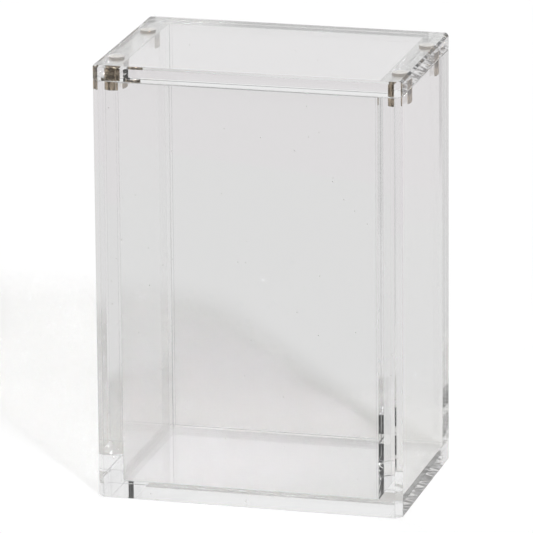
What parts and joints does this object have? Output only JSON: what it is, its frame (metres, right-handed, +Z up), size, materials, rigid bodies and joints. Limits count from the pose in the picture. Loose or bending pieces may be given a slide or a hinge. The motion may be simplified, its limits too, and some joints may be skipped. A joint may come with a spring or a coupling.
{
  "type": "trading card display case",
  "caption": "Clear acrylic box for showing sealed card packs, with a flat lift-off lid held by small magnets in the corners.",
  "frame": {"origin": "middle of the underside of the base plate", "axes": "+Z up through the lid, +X to the right along the wide front, front facing -Y"},
  "size_m": [0.1, 0.067, 0.1421],
  "materials": {
    "acrylic": "polished",
    "magnet": "polished"
  },
  "bodies": {
    "case": {"base_plate": "acrylic", "left_wall": "acrylic", "right_wall": "acrylic", "front_panel": "acrylic", "back_panel": "acrylic", "wall_magnet_front_left": "magnet", "wall_magnet_front_right": "magnet", "wall_magnet_back_left": "magnet", "wall_magnet_back_right": "magnet"},
    "lid": {"lid_plate": "acrylic", "lid_magnet_front_left": "magnet", "lid_magnet_front_right": "magnet", "lid_magnet_back_left": "magnet", "lid_magnet_back_right": "magnet"}
  },
  "joints": [
    {"name": "lid_lift", "type": "slide", "parent": "case", "child": "lid", "axis": [0, 0, 1], "range_m": [0, 0.15]}
  ]
}
